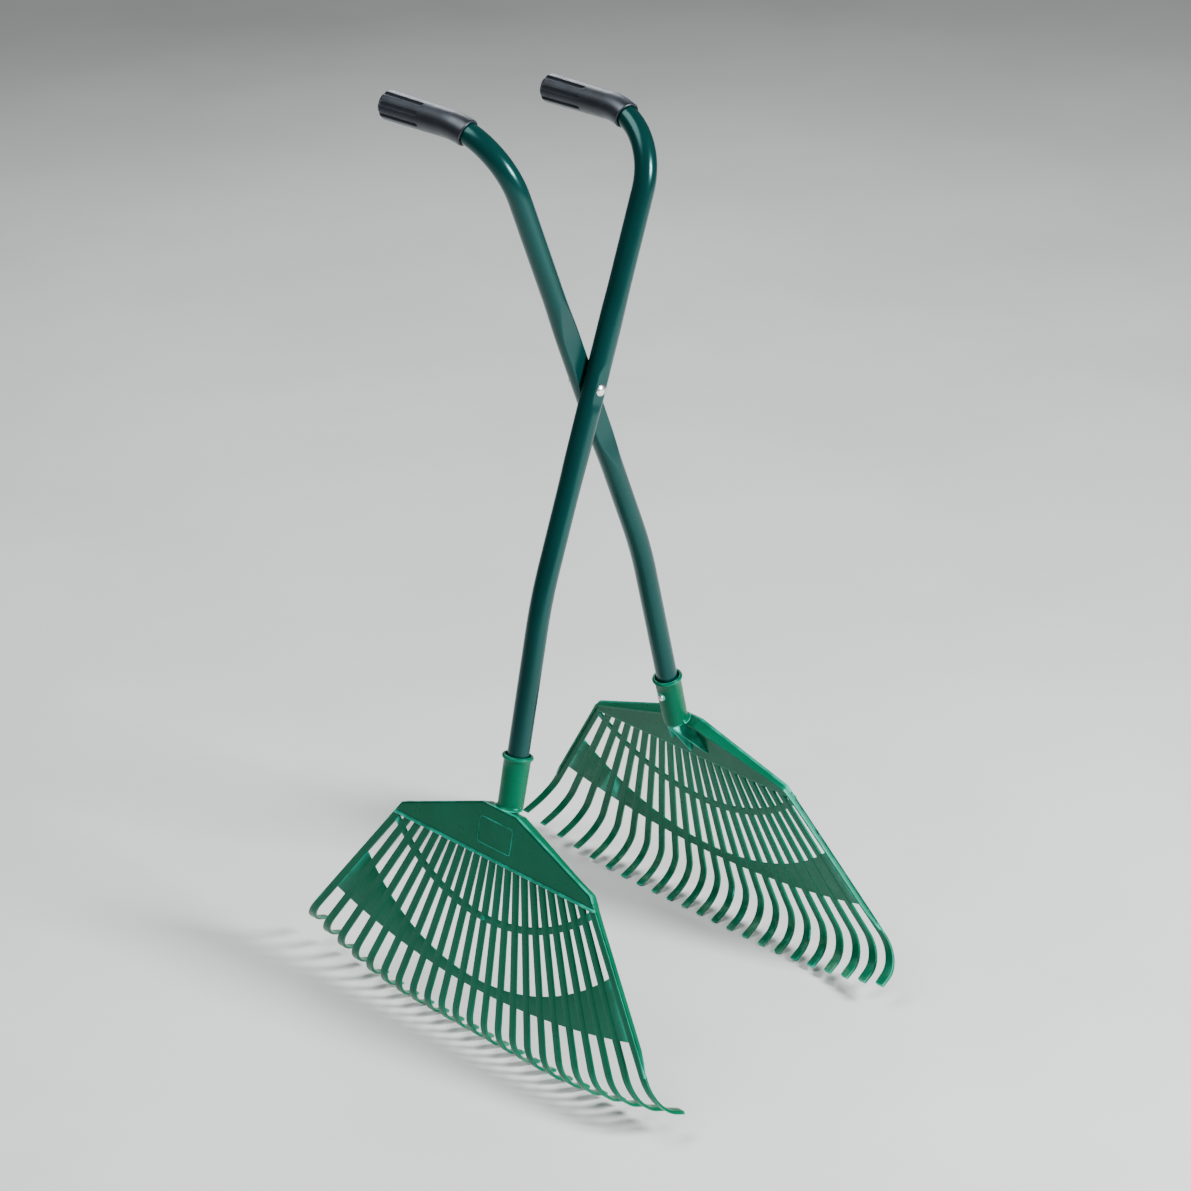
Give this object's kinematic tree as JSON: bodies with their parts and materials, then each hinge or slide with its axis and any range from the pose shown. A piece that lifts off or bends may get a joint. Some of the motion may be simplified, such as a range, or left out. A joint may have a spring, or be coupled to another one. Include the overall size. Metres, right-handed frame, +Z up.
{
  "type": "scissor leaf grabber",
  "caption": "Long-handled scissor grabber: two crossed, bent steel tubes on one pivot bolt, each with a fan-shaped plastic rake head below and a fluted rubber grip above.",
  "frame": {"origin": "on the floor, midway between the two rake heads and under the middle of the pivot bolt", "axes": "+Z up, X the way the rake heads open and close, Y along the pivot bolt; the grips point to +Y and the bolt's domed head faces -Y"},
  "size_m": [0.3764, 0.5466, 0.9415],
  "materials": {
    "tube_paint": "dark green paint, semi-gloss",
    "head_plastic": "green moulded plastic, satin to semi-gloss",
    "grip_rubber": "black soft grip, satin",
    "bright_steel": "bright zinc plate"
  },
  "bodies": {
    "arm_a": {"tube_a": "tube_paint", "grip_a": "grip_rubber", "rake_head_a": "head_plastic", "socket_screw_a": "bright_steel", "pivot_bolt": "bright_steel", "pivot_nut": "bright_steel", "spacer_washer": "bright_steel", "nut_washer": "bright_steel"},
    "arm_b": {"tube_b": "tube_paint", "grip_b": "grip_rubber", "rake_head_b": "head_plastic", "socket_screw_b": "bright_steel"}
  },
  "joints": [
    {"name": "pivot", "type": "hinge", "parent": "arm_a", "child": "arm_b", "pos_m": [0, 0, 0.65775], "axis": [0, 1, 0], "range_deg": [-30, 24]}
  ]
}
